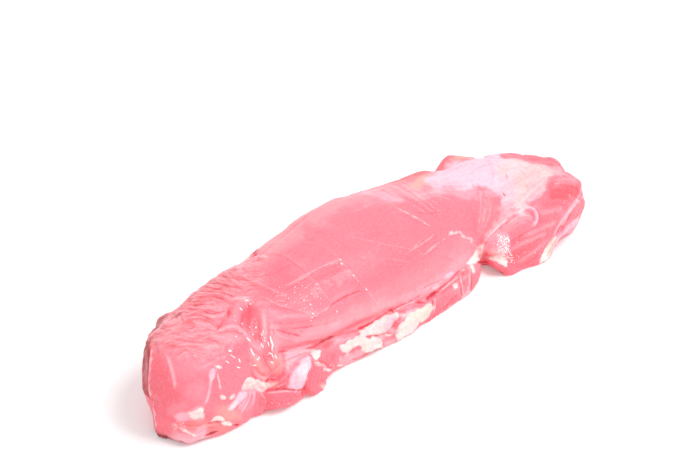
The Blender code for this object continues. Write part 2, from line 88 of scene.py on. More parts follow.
# Paths are x,y pairs: picture points for what shows, and stations for what the picture hides.
# Lines that show: what they are made of, height and half width in mm, and how strong each path is.
SEEN_LINES = (
    # the fold where the main muscle ends over the tail: the pale on its ridges is painted highlight, and the
    # dark in its grooves is dark flesh and painted shade
    ("slit", -0.6, 1, 0.45, "250,304 246,309 241,323 242,329"),
    ("red", -0.8, 1.6, 0.6, "250,305 246,316 247,328 259,347"),
    ("slit", -0.5, 0.9, 0.25, "250,338 260,350", 0.3, "263,353 268,367 271,371",
     0.25, "272,378 281,375 283,370 284,362 283,352"),
    ("pale", 0.9, 1.4, 0.6, "263,311 265,346"),
    ("pale", 0.7, 1.4, 0.5, "271,320 272,336 276,358"),
    ("red", -0.6, 1, 0.5, "268,318 268,350"),
    ("slit", -0.4, 0.8, 0.4, "270,330 274,331 272,336", 0.35, "252,372 254,376 258,379",
     0.25, "216,333 224,331 234,331 242,334"),
    ("pale", 0.9, 1.5, 0.8, "250,352 259,368 266,376"),
    ("thread", 0.2, 0.8, 0.25, "256,366 269,375", 0.25, "255,371 260,376 267,380"),
    ("red", -0.3, 0.8, 0.35, "254,369 260,374 268,378"),
    ("peach", 0.9, 2, 0.5, "280,358 281,366 278,373"),
    ("slit", -0.5, 0.8, 1, "266,381 269,379 274,379"),
    ("pale", 0.8, 1.4, 0.7, "242,331 262,352"),
    ("pale", 0.6, 1.2, 0.8, "216,331 230,327 240,329 247,334"),
    ("pale", 0.5, 1.2, 0.8, "231,301 238,298 246,298 251,302"),
    ("red", -0.3, 1, 0.4, "232,303 224,320 218,329"),
    # nicks in the top of the tail
    ("slit", -0.7, 1, 0.6, "228,308 229,313 228,318"),
    ("red", -0.3, 1.3, 1, "227,310 229,317"),
    ("slit", -0.6, 0.9, 0.45, "222,321 217,330"),
    # folds that cross the tail: their dark slits are painted shade in the folds, and their pale lines painted
    # highlight on the crests
    ("slit", -0.4, 0.8, 0.4, "187,301 197,302 203,301", 0.4, "190,305 197,306 204,304",
     0.35, "187,309 198,310", 0.4, "201,291 225,293 234,297",
     0.4, "209,283 217,283 226,286 237,287 243,290", 0.3, "205,287 222,290",
     0.35, "218,276 224,276 234,279", 0.3, "225,271 239,270", 0.55, "203,311 211,314 226,311"),
    ("slit", -0.3, 0.8, 0.3, "197,297 206,296 226,299", 0.2, "190,320 199,319 210,321",
     0.16, "186,329 196,327 206,328", 0.16, "180,341 192,340 203,342 214,341",
     0.14, "196,349 208,350 222,348"),
    ("thread", 0.4, 0.9, 0.2, "217,274 222,271 241,268", 0.1, "212,280 222,280 232,282 242,286",
     0.1, "196,294 206,293 228,296"),
    ("pale", 0.4, 0.9, 0.7, "204,316 213,317 222,315 228,310"),
    ("pale", 0.3, 0.9, 0.5, "190,313 200,309 210,309 218,306", 0.5, "174,338 188,336 204,338 222,336",
     0.5, "158,342 188,345 206,344 220,346"),
    # the membrane at the tail's far corner, and its dark edge
    ("slit", -0.2, 0.8, 0.3, "211,281 184,304 179,310"),
    ("thread", 0.4, 0.8, 0.4, "149,339 158,329 176,314 184,310"),
    ("pale", 0.4, 0.9, 0.7, "166,336 180,328 190,325"),
    ("slit", -0.3, 0.8, 0.3, "158,334 168,330 172,331", 0.2, "156,337 166,334", 0.25, "171,312 178,319",
     0.35, "179,313 182,317 183,322"),
    ("slit", -0.4, 0.8, 0.16, "168,328 174,324 182,322 190,317"),
    ("red", -0.3, 0.9, 0.9, "152,341 154,345 158,347"),
    ("thread", 0.3, 0.8, 0.2, "150,345 154,342 158,341"),
    # the rim of the tail's face
    ("thread", 0.4, 0.8, 0.45, "152,351 149,375 149,387 156,421 159,431 163,436"),
    ("slit", -0.4, 0.8, 0.45, "149,349 147,388 149,398"),
    ("slit", -0.3, 0.8, 0.3, "145,352 144,378 146,388"),
    # painted contact shadow: a dark line along the tail's lowest edge, where it meets the floor
    ("blood", -0.6, 1.1, 0.9, "154,424 158,432 164,439 178,446 187,447"),
    # the tail's face
    ("thread", 0.3, 0.9, 0.25, "165,354 168,358 171,368"),
    ("pale", 0.2, 0.7, 0.9, "168,358 173,374 175,388"),
    ("thread", 0.2, 0.8, 0.15, "170,364 174,378 175,387", 0.2, "240,395 238,402"),
    ("silver", 0.3, 0.5, 0.75, "211,378 209,394 205,404", 0.6, "250,392 249,399 241,413",
     0.5, "254,391 254,398 252,405", 0.4, "246,393 243,401 238,409"),
    ("fat", 0.4, 0.8, 1, "214,366 222,368"),
    ("thread", 0.4, 0.8, 0.5, "216,368 221,393"),
    ("red", -0.3, 0.8, 0.9, "196,426 219,421"),
    ("slit", -0.5, 0.8, 0.5, "208,424 214,421 222,422", 0.16, "245,391 251,380",
     0.16, "250,388 255,385 261,384", 0.12, "246,384 250,384 254,381", 0.12, "256,391 258,387 263,388"),
    ("slit", -0.9, 1.3, 1, "207,436 217,432"),
    ("blood", -0.2, 0.9, 1, "208,436 216,433"),
    ("slit", -0.6, 0.9, 1, "234,425 238,425"),
    ("fat", 0.4, 0.6, 0.8, "182,429 197,437"),
    ("thread", 0.3, 0.8, 0.2, "172,424 178,421 185,421", 0.2, "171,428 174,434 180,438 190,440",
     0.4, "211,422 216,419 223,419", 0.25, "247,395 240,411", 0.45, "262,394 266,400 265,407"),
    ("slit", -0.3, 0.8, 0.3, "184,425 194,426 204,425", 0.25, "198,433 210,428 218,428",
     0.3, "246,396 234,411", 0.14, "252,393 251,400 247,408", 0.14, "257,392 257,400 255,408"),
    # the seam between the main muscle and the side muscle
    ("pale", 1, 3, 0.4, "312,340 364,317 417,296 432,286"),
    ("slit", -0.4, 0.8, 0.5, "279,352 287,351", 0.5, "306,349 313,347 323,341",
     0.6, "374,321 386,312 394,310", 0.9, "388,311 392,310 393,313", 0.6, "438,291 448,283 460,270"),
    ("pale", 0.2, 0.9, 0.8, "284,353 301,350 310,350"),
    ("slit", -0.5, 0.9, 0.7, "320,342 334,336"),
    ("thread", 0.3, 0.8, 0.3, "290,350 313,345", 0.25, "298,353 314,349", 0.45, "396,310 408,303 414,302",
     0.3, "423,293 436,288 441,284"),
    ("slit", -0.3, 0.8, 0.3, "334,336 359,329", 0.45, "394,309 418,296", 0.75, "416,303 420,302 425,303",
     0.3, "424,302 428,301 431,298", 0.3, "421,290 428,285 446,279"),
    ("slit", -0.4, 0.9, 1, "358,329 374,321"),
    ("slit", -0.6, 0.9, 1, "426,299 438,292"),
    ("blood", -0.4, 0.9, 1, "430,296 437,292"),
    ("pale", 0.3, 0.8, 0.8, "420,292 426,288 448,278"),
    # the side muscle
    ("fat", 0.2, 0.6, 0.8, "336,366 339,364 342,366", 0.7, "323,368 326,370 331,370"),
    ("fat", 0.2, 0.7, 0.6, "384,334 389,336 394,334"),
    ("slit", -0.3, 0.8, 0.3, "384,338 390,338 396,335 398,330", 0.3, "388,330 393,328 397,322",
     0.35, "275,387 286,380 291,373", 0.3, "285,361 301,354 312,352", 0.35, "432,317 458,294",
     0.4, "419,322 420,327"),
    ("slit", -0.5, 0.8, 0.65, "265,391 279,389 303,390", 0.6, "310,368 307,377 304,396"),
    ("thread", 0.2, 0.8, 0.28, "268,393 286,391 298,391", 0.19, "284,366 300,356 308,353",
     0.19, "436,315 452,304"),
    ("thread", 0.3, 0.8, 0.25, "274,389 290,380", 0.33, "314,361 317,363 321,362 326,367",
     0.28, "331,362 333,366", 0.3, "341,355 338,364", 0.41, "435,299 435,305 433,312",
     0.33, "460,275 463,290 460,298", 0.33, "469,268 470,276 469,284 466,292",
     0.3, "461,300 466,294 477,287"),
    ("slit", -0.4, 0.8, 0.45, "313,362 319,360 330,367", 0.4, "350,360 358,358 380,349",
     0.3, "362,354 370,353 378,350 384,350", 0.35, "366,336 374,336 392,333",
     0.6, "432,299 433,302 432,306", 0.35, "441,293 457,281", 0.5, "459,279 461,286 461,294",
     0.45, "471,273 472,280 470,289"),
    ("thread", 0.4, 0.9, 0.36, "345,367 370,356", 0.47, "440,291 458,277"),
    ("red", -0.5, 1, 0.7, "364,335 368,337 384,335 391,332 398,321 413,315"),
    ("red", -0.2, 1.2, 0.9, "394,312 402,311 419,306"),
    ("red", -0.3, 1, 0.6, "384,340 391,338 403,332"),
    # creases of the belly: the slits are dark flesh and painted shade in them, and the pale lines and threads
    # are painted highlight along crests and along chains of glints
    ("slit", -0.4, 0.8, 0.3, "287,289 309,276 340,262", 0.5, "330,307 334,303 348,295 360,291",
     0.16, "259,299 280,310 294,311 308,314", 0.5, "278,330 300,336", 0.45, "293,329 314,326"),
    ("thread", 0.25, 0.9, 0.1, "286,286 308,273 338,260", 0.1, "300,341 318,337 336,331",
     0.1, "276,334 284,338 296,341"),
    ("slit", -0.25, 0.8, 0.12, "311,279 320,277 348,264", 0.1, "268,254 283,256 304,271",
     0.14, "314,326 326,324 340,319", 0.12, "262,276 276,272 292,264", 0.12, "268,294 298,300"),
    ("slit", -0.3, 0.8, 0.2, "278,272 282,268 288,265", 0.18, "243,270 250,272 263,273",
     0.14, "242,279 264,289 276,296", 0.16, "268,322 285,325 302,322 325,316"),
    ("thread", 0.3, 0.9, 0.14, "240,275 283,295", 0.12, "262,297 282,307 298,309"),
    ("thread", 0.2, 0.9, 0.08, "268,251 283,253 304,268", 0.08, "267,243 311,242 326,247"),
    ("thread", 0.2, 0.8, 0.12, "326,247 341,260 350,272 367,290 378,305", 0.1, "310,277 320,287 333,306",
     0.08, "300,262 308,272 314,284 318,300"),
    ("thread", 0.25, 0.8, 0.25, "312,317 332,305"),
    ("pale", 0.25, 0.9, 0.25, "330,303 338,296 356,289"),
    ("pale", 0.35, 1, 0.35, "253,307 261,301 269,304"),
    ("pale", 0.3, 1.2, 0.3, "270,317 285,315 303,317 316,314"),
    ("slit", -0.2, 0.8, 0.08, "300,230 316,232 334,238 350,248", 0.08, "352,262 372,268 392,270",
     0.1, "438,256 457,262"),
    ("thread", 0.15, 0.8, 0.06, "350,236 372,242 416,250", 0.06, "372,256 410,262"),
    # the torn membrane where the outline steps
    ("slit", -0.4, 0.8, 0.55, "248,262 254,254 256,249"),
    ("slit", -0.3, 0.8, 0.45, "252,263 256,260 262,260"),
    ("thread", 0.4, 0.8, 0.5, "250,261 254,257 260,256 266,257", 0.45, "246,264 252,262 258,263"),
    ("thread", 0.3, 0.8, 0.45, "399,209 419,219 428,225",
     0.5, "449,235 460,231 462,236 466,238 470,238 475,242", 0.45, "470,238 472,244 477,247"),
    ("slit", -0.2, 0.8, 0.25, "404,214 426,226", 0.12, "397,185 410,192 434,210", 0.1, "388,187 430,212",
     0.2, "432,206 438,212 430,214 418,212", 0.12, "352,187 366,189 382,195 396,203",
     0.15, "484,200 486,214 482,230", 0.15, "494,200 492,214 486,228"),
    ("thread", 0.2, 0.8, 0.25, "446,238 436,244 424,255", 0.2, "420,241 410,252",
     0.22, "434,234 428,240 409,252", 0.12, "355,211 372,204", 0.22, "400,183 425,200 437,211 441,211",
     0.16, "393,186 404,192 433,212", 0.14, "384,189 428,214", 0.12, "404,181 418,190 430,200 440,206",
     0.2, "420,195 438,191 446,192", 0.14, "424,199 434,196 444,197 452,201"),
    ("fat", 0.4, 0.9, 1, "449,234 453,232"),
    ("thread", 0.15, 0.8, 0.14, "480,191 481,204 478,234", 0.1, "489,198 490,212 486,226 480,238"),
    ("slit", -0.1, 0.7, 0.12, "470,206 474,220 476,236"),
    # the silverskin and its edges
    ("slit", -0.1, 0.7, 0.14, "446,167 456,163 480,158", 0.14, "440,176 462,166 474,163",
     0.12, "460,161 476,157 492,156", 0.1, "470,174 482,166 494,164 500,168",
     0.1, "488,160 493,170 493,180 488,186", 0.3, "506,174 507,179", 0.1, "506,190 538,170",
     0.1, "508,206 520,198 544,178", 0.1, "500,222 508,214 520,208 530,198",
     0.08, "514,212 526,204 546,182", 0.1, "430,184 456,187 470,186",
     0.1, "506,170 514,168 522,171 526,178", 0.1, "512,200 522,196 530,188 540,182",
     0.1, "506,212 516,208 536,192", 0.08, "520,178 526,184 528,192 522,200",
     0.08, "536,172 546,176 544,184 536,190"),
    ("thread", 0.1, 0.7, 0.16, "492,158 496,168 497,178 493,186"),
    ("thread", 0.2, 0.8, 0.14, "436,188 450,191 480,188", 0.12, "484,187 494,190 502,198 503,208"),
    ("slit", -0.2, 0.8, 0.1, "440,190 456,192 472,190 488,190 498,196"),
    ("thread", 0.3, 0.9, 0.55, "485,240 490,234 508,218"),
    ("slit", -0.3, 0.8, 0.35, "488,240 501,226 508,222"),
    ("slit", -0.4, 0.8, 0.6, "503,193 505,196", 0.6, "531,213 533,216"),
    # the head lobe
    # painted contact shadow: a dark line along the head lobe's lower edge, where it meets the floor
    ("slit", -0.6, 0.8, 0.8, "478,262 484,262 499,267 504,271"),
    ("blood", 0, 0.7, 0.4, "479,262 495,265 499,267 504,272"),
    ("red", -0.4, 1, 0.4, "487,246 487,253 484,260"),
    ("silver", 0.5, 0.8, 0.65, "525,208 530,207 535,210 537,215 537,221 533,226"),
    ("slit", -0.4, 0.8, 0.3, "522,212 527,210 532,212 535,217 533,223", 0.3, "571,214 548,256"),
    ("slit", -0.3, 0.8, 0.25, "528,205 534,206 539,211 540,219 537,226",
     0.2, "510,228 520,222 528,220 532,224", 0.3, "552,185 562,184 572,186 579,190",
     0.22, "552,191 562,190 572,194 581,200", 0.2, "550,198 560,196 570,200 578,205",
     0.18, "546,205 556,202 566,205", 0.25, "566,226 581,212", 0.18, "560,240 568,235 575,228",
     0.35, "546,248 560,228", 0.4, "557,234 558,228 562,226 564,230 562,235",
     0.3, "508,244 516,238 538,226", 0.3, "514,256 534,244 542,236", 0.2, "520,266 532,260 540,254"),
    ("thread", 0.3, 0.8, 0.2, "508,224 516,218 524,215 530,216", 0.2, "562,238 556,246 547,262",
     0.3, "583,196 567,214 562,224", 0.25, "576,222 570,232 561,242 553,254", 0.2, "579,216 564,236"),
    ("pale", 0.3, 1, 0.5, "553,181 564,179 576,181"),
    ("thread", 0.3, 0.9, 0.16, "581,188 575,203 568,210 562,225"),
    ("pale", 0.3, 0.9, 0.6, "581,190 577,199 567,212 561,227"),
    ("silver", 0.3, 0.9, 0.6, "578,199 566,214 557,228 553,237"),
    ("pale", 0.2, 1.1, 0.5, "510,250 522,243 546,234", 0.45, "518,262 530,255 547,240",
     0.45, "524,236 556,222"),
    ("pale", 0.2, 1, 0.35, "540,214 562,208"),
)
# Areas that show: what they are made of and how strongly, how soft and how ragged their edge is in picture
# points, their outline, and height in mm if they are raised.
SEEN_AREAS = (
    # lumps of the side muscle
    ("fat", 0.5, 1.2, 1.5, "317,384 324,381 326,385 320,389"),
    # where folds cross
    ("creased", 1, 8, 4, "150,345 150,325 222,262 248,258 262,266 262,292 230,304 214,330 222,350 206,358 "
     "162,352"),
    # broad tints
    # painted light: the lower flank above the seam is made paler, as if lit by the white floor below
    ("pale", 0.62, 22, 6, "268,345 330,326 430,276 470,243 478,262 440,292 300,352"),
    ("pale", 0.4, 5, 3, "152,330 180,300 205,280 250,255 262,250 262,258 240,270 190,306 165,330"),
    # painted light, as above: paler again along the seam
    ("pale", 0.8, 12, 5, "296,346 398,306 440,282 450,268 400,293 296,332"),
    ("red", 0.35, 16, 6, "330,250 380,222 430,212 450,235 430,265 370,285"),
    ("red", 0.45, 10, 6, "305,285 325,272 350,266 352,280 325,298 305,300"),
    ("red", 0.3, 14, 5, "395,200 440,205 500,200 500,218 470,232 420,230"),
    ("red", 0.35, 10, 5, "243,272 270,268 310,290 330,300 300,310 262,300"),
    ("pale", 0.5, 10, 4, "322,205 400,184 440,190 400,198 330,210"),
    # the tail's face
    ("red", 0.55, 6, 4, "152,352 160,352 186,398 184,410 160,424 154,412 150,395"),
    # faint silver over the tail's face: its membrane, and a painted lilac reflection of the lamp
    ("silver", 0.12, 6, 3, "158,350 176,354 196,358 214,364 210,376 176,378 168,366"),
    ("silver", 0.14, 6, 3, "186,382 208,380 208,400 190,402 182,396"),
    ("silver", 0.2, 4, 3, "172,402 184,398 192,406 186,412 176,414 168,412"),
    ("red", 0.55, 4, 3, "218,328 238,322 252,338 244,356 226,354 216,342"),
    ("silver", 0.8, 2.5, 1.5, "176,415 184,412 200,406 204,408 204,418 197,419 178,421", 0.3),
    ("fat", 0.8, 1.6, 2, "186,412 192,409 198,408 203,406 205,416 198,418 190,418", 0.2),
    ("white", 1, 2, 1, "190,409 203,405 204,419 190,419"),
    ("silver", 0.85, 1.2, 0.8, "211,370 215,369 215,375 213,380 210,383 209,377", 0.2),
    ("fat", 1, 1, 0.6, "219,395 222,394 226,396 225,399 220,399", 0.4),
    ("warm", 0.6, 4, 2, "182,421 206,420 236,424 234,432 196,436 182,430"),
    ("pale", 0.45, 3, 2, "196,426 214,424 222,428 212,432 198,433"),
    ("fat", 0.34, 2, 2, "171,424 182,421 188,428 184,436 174,437 170,430", 0.2),
    ("silver", 0.5, 3, 2, "176,431 192,433 208,428 207,437 192,446 176,443", 0.1),
    ("pale", 1, 4, 2, "160,432 198,438 212,430 222,432 188,448 168,444 160,438"),
    ("fat", 1, 1.2, 1.4, "241,390 242,384 245,378 252,377 258,380 266,388 265,391 262,393 252,388 "
     "244,391", 0.3),
    ("silver", 0.35, 1.5, 2, "241,386 248,384 262,386 266,391 258,392 244,392"),
    ("fat", 0.5, 1.5, 1.2, "259,381 264,383 277,382 275,386 269,388 263,387", 0.1),
    ("peach", 0.35, 1.5, 1, "264,381 280,380 277,387 267,388 263,385"),
    ("silver", 1, 1.6, 1, "239,392 243,391 247,392 243,399 233,410 228,411 227,408 236,398", 0.3),
    ("white", 1, 1.5, 0.8, "228,403 237,400 236,407 229,411"),
    ("fat", 0.7, 1.5, 1, "229,396 234,393 236,396 232,400 229,400", 0.1),
    ("silver", 0.18, 4, 2, "242,392 254,391 254,402 248,410 242,408", 0.2),
    ("pale", 0.5, 2, 1, "262,394 268,400 267,409 262,412 263,402"),
    ("peach", 0.45, 5, 3, "220,404 232,406 244,416 240,422 224,420 212,414", 0.1),
    ("fat", 1, 0.9, 0.6, "209,423 213,418 218,415 224,417 225,421 213,422", 0.3),
    ("fat", 0.9, 1, 0.8, "220,422 227,421 233,423 231,426 223,426", 0.2),
    # the rim and the far corner of the tail
    # the brown strip and corner face away from the lamp: browned meat, darkened further as painted shade
    ("brown", 0.9, 1.6, 1, "138,385 138,352 145,340 150,341 151,350 147,384 150,402 144,396"),
    ("silver", 0.22, 3, 1, "144,364 148,364 148,382 144,386"),
    ("brown", 0.75, 1.4, 1, "152,333 155,322 160,314 170,310 168,316 156,330"),
    ("pale", 0.6, 5, 3, "148,340 160,312 182,308 184,326 166,342 154,348"),
    # the gully beside the fold, and the lobes around it
    ("red", 0.9, 3, 2, "245,313 250,307 259,311 261,324 261,343 254,338 246,333 242,326"),
    ("pale", 0.45, 3, 2, "270,322 280,322 283,350 282,366 274,364"),
    ("peach", 0.35, 3, 1, "268,360 278,355 283,362 281,371 274,376 268,372", 0.9),
    ("pale", 0.9, 3, 1.5, "250,352 258,356 262,366 270,374 266,380 258,376 252,368"),
    ("warm", 0.55, 3, 1.5, "250,354 260,358 266,372 268,380 258,376"),
    ("pale", 0.4, 5, 2, "216,333 232,330 246,336 240,346 222,344", 0.3),
    ("pale", 0.2, 6, 2, "231,303 242,300 240,320 238,328 222,328", 0.8),
    # the side muscle
    ("red", 0.65, 4, 3, "265,393 280,391 300,393 304,398 292,406 270,410 264,404"),
    ("red", 0.75, 2, 1, "281,371 290,374 290,388 268,390 274,384"),
    ("silver", 0.4, 2.5, 2, "284,353 300,350 318,349 314,354 300,357 290,362 284,364"),
    ("pale", 0.75, 3, 2, "282,354 300,351 318,350 314,354 300,357 290,364 283,368"),
    ("silver", 0.25, 3, 2, "282,364 294,358 300,356 290,374 284,372"),
    ("silver", 0.88, 2.6, 2.4, "303,356 309,355 313,357 304,388 298,390 290,389 287,385 293,368", 0.7),
    ("white", 1, 2, 1, "301,358 309,357 309,366 305,378 299,380 296,370", 0.1),
    ("fat", 1, 1, 1, "308,351 314,349 321,350 321,356 317,361 312,358", 0.4),
    ("fat", 0.6, 1.5, 1.5, "313,358 320,360 326,366 320,368 314,366", 0.2),
    ("red", 0.7, 2.5, 1.5, "305,396 305,385 309,370 320,353 330,351 337,352 338,364 334,372 318,386 "
     "312,394"),
    ("blood", 0.45, 2, 1, "320,347 326,342 334,340 331,346 324,349"),
    ("silver", 0.2, 3, 2, "336,344 340,334 358,331 354,339 342,342"),
    ("pale", 0.9, 2, 1.5, "376,338 384,332 392,326 396,330 394,338 386,341"),
    ("fat", 1, 1.3, 1.8, "339,347 341,344 360,335 364,335 367,338 380,338 383,341 383,346 380,348 374,348 "
     "368,351 362,351 361,347 355,346 352,352 348,354 343,353", 0.45),
    ("fat", 0.55, 1.5, 2, "342,353 352,350 372,349 366,354 342,358", 0.2),
    ("silver", 0.35, 2, 2, "344,356 352,351 364,350 364,355 350,362"),
    ("pale", 0.8, 2, 2, "340,356 352,354 384,348 386,348 372,356 346,366 340,366"),
    ("fat", 1, 1.8, 2.2, "360,333 362,330 385,315 392,312 398,312 399,316 388,330 383,333 368,336", 0.4),
    ("silver", 0.6, 2, 2, "388,316 396,314 398,318 392,326 386,332 384,326"),
    ("silver", 0.75, 1.6, 2, "400,318 404,312 420,306 416,312 402,322", 0.2),
    ("fat", 1, 2, 2, "394,337 396,329 400,322 424,306 431,302 434,306 432,312 427,318 420,321 409,335 "
     "396,340", 0.4),
    ("cream", 0.5, 3, 1, "406,315 422,308 432,303 433,312 420,320 410,320"),
    ("fat", 0.6, 1.5, 1.5, "394,314 412,312 408,317 400,319 396,318", 0.2),
    ("pale", 0.9, 2, 1, "383,341 396,337 399,340 390,347 385,347"),
    ("red", 0.75, 2.5, 1.5, "431,312 437,294 447,287 453,284 453,292 462,299 446,312 421,328 419,324"),
    ("red", 0.9, 1.5, 1, "455,275 464,265 468,266 469,272 467,285 461,287 460,279"),
    ("red", 0.9, 1.5, 1, "472,276 477,270 480,276 479,285 474,288 470,288"),
    ("fat", 0.8, 1.2, 1, "452,283 458,281 459,287 454,292 453,288", 0.3),
    ("fat", 0.9, 1.2, 1, "469,266 472,263 475,267 476,272 473,274 470,271", 0.3),
    ("fat", 0.6, 1, 0.8, "461,269 464,268 464,272 461,272", 0.2),
    ("pale", 0.9, 2, 1.5, "460,298 466,291 476,287 474,290 462,300"),
    ("fat", 0.45, 2, 2, "420,293 426,288 441,282 438,288", 0.2),
    ("silver", 0.8, 2, 2, "443,278 446,273 451,270 456,269 453,275 447,280", 0.3),
    # the silverskin
    ("silver", 0.95, 3.2, 3, "424,181 430,175 441,166 466,154 480,150 515,150 520,158 553,172 564,176 "
     "550,178 543,192 524,211 515,214 500,224 479,249 480,243 497,224 504,205 502,194 495,189 482,186 "
     "460,188 432,185", 0.15),
    ("silver", 0.4, 4, 4, "430,184 480,186 496,189 502,196 460,197 440,194"),
    ("cream", 1, 7, 3, "494,160 516,152 540,160 566,172 552,184 532,205 514,214 484,242 480,236 500,210 "
     "504,190"),
    ("silver", 0.7, 4, 3, "500,176 514,173 518,186 513,202 504,212 501,196"),
    ("flesh", 0.5, 4, 3, "500,208 508,204 518,206 512,214 502,222 496,232 488,240"),
    ("flesh", 0.25, 5, 3, "530,182 548,178 544,192 534,202 522,206"),
    ("white", 0.9, 5, 3, "436,178 470,160 512,156 508,164 464,174 446,181"),
    ("white", 0.45, 5, 3, "508,158 530,163 526,176 512,172"),
    ("flesh", 1, 1.2, 0.8, "500,151 520,149 548,151 560,157 563,163 561,168 549,166 530,159 519,156 "
     "500,155"),
    ("red", 0.6, 1.2, 0.8, "526,151 548,151 560,157 563,163 561,168 549,166 539,163 530,159"),
    ("pale", 0.9, 1.5, 1, "538,164 549,166 561,168 567,176 553,172"),
    ("peach", 0.7, 3, 2, "412,186 416,178 424,174 432,173 430,180 424,187 416,189"),
    ("silver", 0.45, 1.5, 1.5, "360,190 372,187 384,190 394,196 404,199 402,202 364,194"),
    ("pale", 0.6, 4, 3, "376,188 400,182 446,192 436,200 392,197"),
    ("pale", 0.35, 6, 3, "486,196 498,198 498,212 486,230 478,238 481,214"),
    ("fat", 1, 1.4, 1, "466,262 487,237 491,234 483,247 483,254 481,262 473,265 466,265", 0.1),
    # the head lobe
    ("red", 0.7, 3, 2, "549,179 562,178 576,179 582,190 586,204 576,204 566,210 554,211 542,208 537,203 "
     "547,188"),
    ("blood", 0.42, 3, 2, "552,184 577,184 582,193 574,199 560,200 549,200 549,192"),
    ("red", 0.7, 2, 1, "566,215 574,206 585,203 582,214 576,219 569,222"),
    ("red", 0.65, 3, 3, "541,212 556,212 563,216 562,226 540,258 536,265 508,274 506,264 510,248 516,240 "
     "530,234 538,226"),
    ("pale", 0.5, 4, 3, "506,218 522,212 532,214 530,222 500,238 492,240"),
    ("pale", 0.35, 4, 3, "552,180 576,180 574,184 554,188"),
    ("silver", 0.45, 3, 3, "486,238 498,230 508,232 509,244 508,254 484,252"),
    ("silver", 0.45, 2, 1.5, "487,248 496,248 505,250 507,258 498,257 487,255"),
    ("peach", 1, 2, 1.5, "487,249 496,249 504,251 506,260 497,257 487,255"),
    ("red", 0.9, 1.5, 0.8, "480,259 488,259 503,264 510,266 509,274 500,270 490,265 480,263"),
    ("fat", 1, 0.8, 0.6, "483,258 486,255 500,255 504,257 507,260 507,266 502,263 496,260", 0.2),
    ("silver", 0.9, 2, 1.5, "570,222 576,219 580,220 576,233 556,250 550,266 538,270 546,256 553,243", 0.2),
    ("flesh", 0.35, 2, 1.5, "570,222 580,218 576,232 566,240 558,242 564,230"),
    ("fat", 0.85, 1.2, 1, "554,236 558,239 549,257 546,265 537,268 537,263 548,245", 0.2),
    ("white", 0.6, 2, 1.5, "553,242 549,257 540,266 540,258"),
    ("cream", 0.7, 2, 1.5, "550,240 562,238 556,250 548,262 544,262"),
)
# Swellings and hollows that show: height and half width in mm, and path.
SEEN_SWELLINGS = (
    (1.8, 2.4, "268,405 276,406 294,401"),
    (-2.2, 1.5, "262,398 266,412"),
    (-2, 1.5, "303,386 308,399"),
    (1.8, 2, "308,391 314,391 328,386"),
)

# The same for what the picture hides, with mm for the edge.
HIDDEN_LINES = (
    ("slit", -0.8, 1, 0.7, "-108,-94 -66,-83 -24,-89 24,-82 66,-87 98,-80"),
    ("slit", -0.5, 1, 0.4, "-96,-66 -74,-71 -52,-84", 0.4, "-18,-62 8,-70 30,-82"),
    ("slit", -0.4, 0.9, 0.3, "-60,-40 -36,-46 -14,-42"),
    ("slit", -0.7, 0.9, 0.7, "123,74 129,90 133,112"),
    ("slit", -0.6, 0.9, 0.5, "112,-58 122,-82 128,-118"),
    ("thread", 0.4, 1, 0.6, "-70,-62 -54,-66 -40,-60", 0.5, "20,-56 32,-62 40,-74"),
    # painted contact shadow: dark lines under the tail's end, and in the notch below the head lobe
    ("blood", 0, 1.6, 1, "-137,-166 -138,-178 -138,-190 -137,-204"),
    ("blood", 0, 0.9, 1, "56,128 60,123.5 62,119 64,117"),
    # the fibres of the end, which is browned and also painted darker as shade
    ("pale", 0.3, 1.2, 0.5, "-120,-46 -130,-46 -138,-52 -143,-66",
     0.5, "-116,-58 -126,-60 -134,-68 -138,-84"),
    ("slit", -0.3, 0.9, 0.35, "-118,-52 -128,-53 -136,-60 -141,-76"),
)
HIDDEN_AREAS = (
    ("red", 0.2, 6, 2, "-146,-95 -164,-95 -164,-168 -130,-168 -136,-130", -1.6),
    ("creased", 0.9, 8, 4, "-138,-20 -120,-34 -96,-32 -60,-46 -50,-62 -58,-84 -100,-88 -136,-80"),
    # brown over the end that faces away from the lamp: browned meat and painted shade
    ("brown", 0.8, 6, 3, "-124,-42 -139,-38 -146,-44 -148,-54 -144,-62 -125,-51"),
    ("brown", 0.7, 1, 1, "-104,-32 -110,-33 -112,-38 -106,-38"),
    ("silver", 1, 1.5, 1, "60,-22 70,-34 84,-38 104,-40 120,-34 124,-10 112,0 96,6 60,-2", 0.15),
    ("flesh", 1, 1, 0.8, "44,-45 56,-40 66,-39 72,-46 70,-62 50,-68 42,-58", 0.1),
    ("red", 0.8, 1.5, 1, "44,-45 56,-40 66,-39 72,-46 70,-62 50,-68 42,-58"),
    ("flesh", 1, 1, 0.8, "83,-46 88,-42 94,-42 104,-46 105,-62 88,-68 84,-60", 0.6),
    ("red", 0.7, 1.5, 1, "82,-46 88,-42 94,-42 104,-46 105,-62 88,-68 83,-60"),
    ("peach", 0.8, 1.5, 1, "84,-43 106,-44 106,-49 84,-49"),
    ("brown", 0.25, 2, 1, "44,-45 56,-40 66,-39 72,-46 70,-62 50,-68 42,-58"),
    ("red", 0.2, 6, 1, "120,-34 132,-50 142,-40 142,40 130,44 124,20 124,-10", -1.5),
    ("brown", 0.5, 3, 1.5, "-104,-52 -111,-54 -112,-64 -105,-64", 1.2),
    ("fat", 0.75, 2.4, 3, "34,-98 48,-90 66,-94 74,-102 54,-106", 0.3),
    ("fat", 0.7, 2.4, 3, "-20,-94 -4,-90 14,-92 6,-98 -12,-99", 0.3),
    ("silver", 0.6, 3, 3, "-80,-84 -60,-78 -44,-86 -58,-94 -76,-94", 0.1),
    ("red", 0.7, 4, 4, "92,-60 112,-62 126,-70 124,-110 100,-112 84,-96"),
    ("red", 0.5, 5, 4, "-60,-92 40,-100 40,-112 -20,-114 -60,-108"),
    ("pale", 0.5, 8, 5, "-60,-20 0,-24 40,-40 40,-70 -10,-72 -60,-60"),
)
